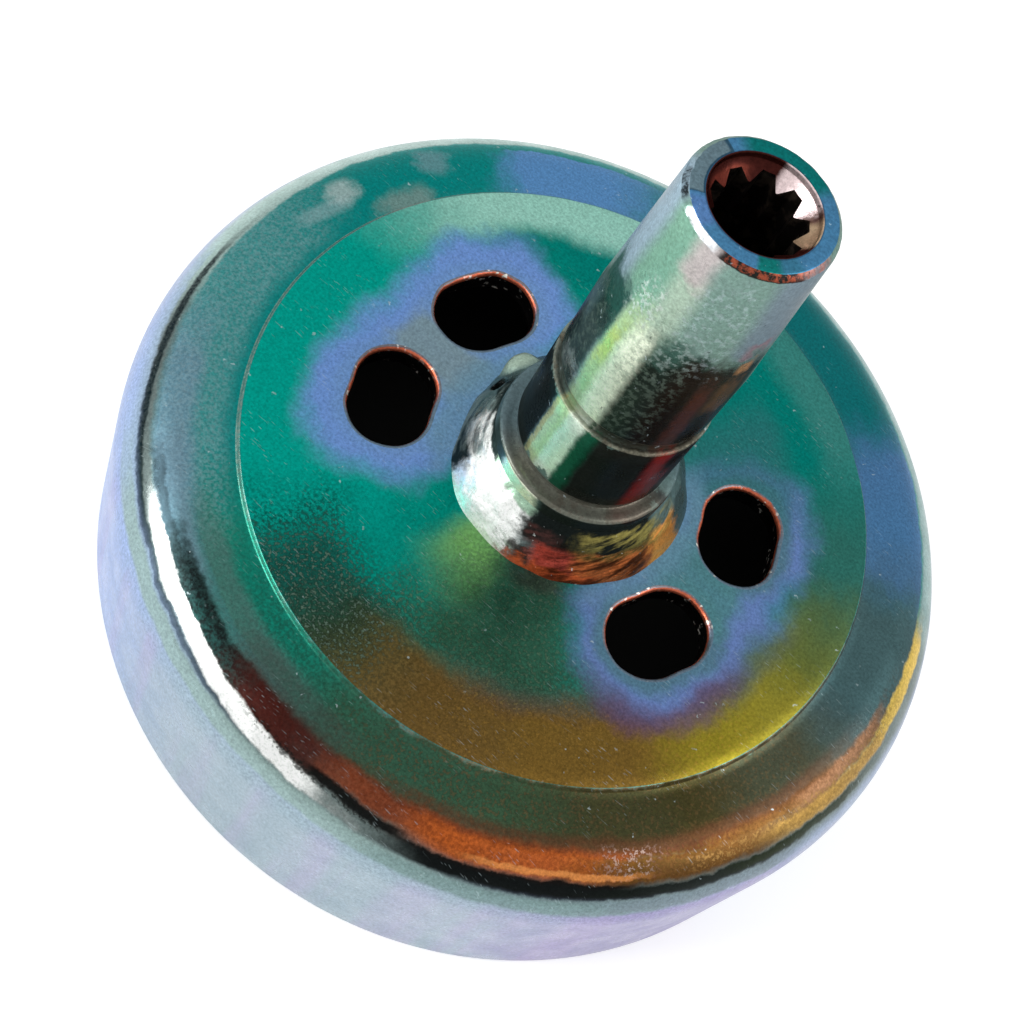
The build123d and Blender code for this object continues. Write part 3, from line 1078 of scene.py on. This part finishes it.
weld_dabs = [
    Dab((18, 30, 28), 210, 30, 12, 8, 9.3, 0.3),
    Dab((16, 28, 30), 214, 11, 8, 10.2, 11.6, 0.5),
    Dab((150, 166, 160), 202, 12, 10, 9.4, 11.4, 0.5, 0.6, broken=1),
    # White on the near flank: painted highlight.
    Dab((244, 248, 244), 220, 8, 10, 9.3, 10.3, 0.4, broken=0.8),
    Dab((252, 255, 252), 252, 17, 11, 9.4, 13, 0.5, 1),
    Dab((160, 194, 168), 256, 16, 6, 8, 9.2, 0.3),
    # Black over the upper ridges: painted dark reflection.
    Dab((14, 18, 16), 312, 34, 12, 8, 10.4, 0.5, 0.97),
    Dab((92, 56, 52), 287, 6, 8, 10, 11.2, 0.5, 0.55, broken=0.8),
    Dab((40, 26, 18), 278, 4, 6, 11.2, 11.8, 0.4, 0.8),
    Dab((168, 60, 44), 300, 10, 10, 10.7, 12.4, 0.4),
    Dab((190, 104, 52), 332, 18, 12, 10.6, 13, 0.4, 0.95),
    Dab((208, 96, 50), 296, 18, 10, 11.7, 13, 0.3, 0.8),
    Dab((230, 154, 74), 360, 8, 7, 10.2, 13, 0.4, 0.95),
    Dab((150, 140, 76), 338, 22, 16, 9.3, 10.6, 0.4, 0.85, broken=1),
    Dab((20, 12, 8), 320, 22, 12, 10.4, 12.2, 0.4, 0.85, broken=1),
]


def weld_plating():
    """Weld bead: painted highlight on one flank, painted dark reflection over the ridges on the other,
    gold and red at the toe.
    """
    m = Plating("weld_plating", (88, 112, 112), 18.0, 20.0)
    off_front = m.math("ABSOLUTE", m.math("WRAP", m.minus(m.angle, fan_angle), 180.0, -180.0))
    fan = m.math("MULTIPLY_ADD", off_front, fan_slope * 0.56, m.radius)
    inputs = {0: m.times(fan, 2.3), 1: m.times(off_front, 0.05)}
    place = m.add("ShaderNodeCombineXYZ", inputs)
    m.grit = m.minus(m.noise(place.outputs[0], 1.0, 3.0, 0.6), 0.5)
    run = m.math("MULTIPLY_ADD", m.grit, 0.9, m.radius)
    m.dabs(m.stray(run, 0.6, 0.6), weld_dabs)
    pit_r, pit_z = collar_r + 1.2, weld_crown_z - 2.2
    lump_r, lump_z = collar_r + 2.6, disc_top + 2.4
    m.spot(polar(lump_r, lump_angle, lump_z), 2.6, (168, 190, 172), 0.9)
    m.spot(polar(lump_r - 0.4, lump_angle - 0.2, lump_z + 0.8), 1.1, (48, 60, 54), 0.8)
    # Near-black spots: painted shade in the pit and in a smaller hole beside it.
    m.spot(polar(pit_r, pit_angle, pit_z), 1.15, (3, 6, 6), 1.0)
    m.spot(polar(pit_r + 1.0, pit_angle + 0.2, pit_z - 1.6), 0.5, (24, 32, 30), 0.8)
    m.flecks(0.8, 0.13, (220, 226, 222), 0.5)
    m.flecks(0.9, 0.13, (14, 18, 16), 0.6)
    return m.finish(metal=0.65, rough=(0.24, 0.4), bumps=(0.6, 0.04))


# Stage: floor and lamps in metres and watts, and the photo's camera in millimetres and degrees
stage_r = 3.0
stage_z = -0.00002
stage_pale = (0.86, 0.86, 0.86, 1.0)
# Floor colour inside the drum's rim: painted shade.
stage_painted_shade = (0.03, 0.03, 0.03, 1.0)
stage_glow = 0.30
white = (1.0, 1.0, 1.0, 1.0)
world_strength = 0.7
lamp_aim = (0.0, 0.0, 0.03)
camera_place = (8.906, -85.220, 153.072)
camera_turn = -7.26
camera_down = 58.98
camera_roll = 35.65
sensor = 36.0
lens = 57.806


def stage_floor():
    """Wide pale floor, white to the camera but still shaded under the drum, and painted dark inside it
    as painted shade.
    """
    bpy.ops.mesh.primitive_circle_add(
        vertices=96, radius=stage_r, fill_type="NGON", location=(0, 0, stage_z))
    floor = bpy.context.object
    floor.name = "studio_floor"
    material = bpy.data.materials.new("studio_floor")
    material.use_nodes = True
    n = Nodes(material.node_tree)
    shader = material.node_tree.nodes["Principled BSDF"]
    shader.inputs["Roughness"].default_value = 0.9
    shader.inputs["Specular IOR Level"].default_value = 0.1
    path = n.add("ShaderNodeLightPath").outputs
    mirrored = n.math("MAXIMUM", path["Is Glossy Ray"], path["Is Transmission Ray"])
    seen = n.math("MAXIMUM", path["Is Camera Ray"], mirrored)
    place = n.add("ShaderNodeTexCoord").outputs["Object"]
    reach = n.add("ShaderNodeVectorMath", {0: place}, operation="LENGTH").outputs["Value"]
    outside = n.smooth(reach, inner_r * MM, drum_r * MM)
    # Inside the drum's rim the floor is painted dark, as painted shade.
    n.feed(shader.inputs["Base Color"], n.mix(outside, stage_painted_shade, stage_pale))
    n.feed(shader.inputs["Emission Color"], white)
    n.feed(shader.inputs["Emission Strength"], n.times(seen, outside, stage_glow))
    floor.data.materials.append(material)


def studio_world():
    """Even pale surroundings."""
    world = bpy.data.worlds.new("studio")
    world.use_nodes = True
    background = world.node_tree.nodes["Background"]
    background.inputs["Color"].default_value = white
    background.inputs["Strength"].default_value = world_strength
    bpy.context.scene.world = world


def softbox(name, place, aim, size, power):
    """Square soft lamp at a place, turned to a point."""
    lamp = bpy.data.lights.new(name, "AREA")
    lamp.size = size
    lamp.energy = power
    obj = bpy.data.objects.new(name, lamp)
    obj.location = place
    obj.rotation_euler = (Vector(aim) - Vector(place)).to_track_quat("-Z", "Y").to_euler()
    bpy.context.scene.collection.objects.link(obj)


def camera():
    """Camera of the photograph, from its place, where it looks and how it is rolled."""
    place = Vector(camera_place) * MM
    turn, down, roll = radians(camera_turn), radians(camera_down), radians(camera_roll)
    ahead = Vector((sin(turn) * cos(down), cos(turn) * cos(down), -sin(down)))
    right = Vector((cos(turn), -sin(turn), 0))
    up = right.cross(ahead)
    turned = Matrix((right, up, -ahead)).transposed() @ Matrix.Rotation(roll, 3, "Z")
    data = bpy.data.cameras.new("photo_camera")
    data.sensor_width = sensor
    data.lens = lens
    data.clip_start = 0.005
    obj = bpy.data.objects.new("photo_camera", data)
    obj.matrix_world = Matrix.Translation(place) @ turned.to_4x4()
    bpy.context.scene.collection.objects.link(obj)
    bpy.context.scene.camera = obj


band_ends = (*band_starts[1:], rim_run)
bands = [shoulder_plating(first, last) for first, last in zip(band_starts, band_ends)]
drum_cup([disc_plating(), inside_plating(), hole_edge_plating(), *bands])
splined_shaft([shaft_plating(), end_plating(), mouth_plating(), socket_steel()])
weld_bead([weld_plating()])

stage_floor()
studio_world()
softbox("key", (-0.30, -0.26, 0.26), lamp_aim, size=0.22, power=1.2)
softbox("fill", (0.35, 0.10, 0.35), lamp_aim, size=0.30, power=0.8)
camera()

bpy.context.scene.view_settings.view_transform = "Standard"
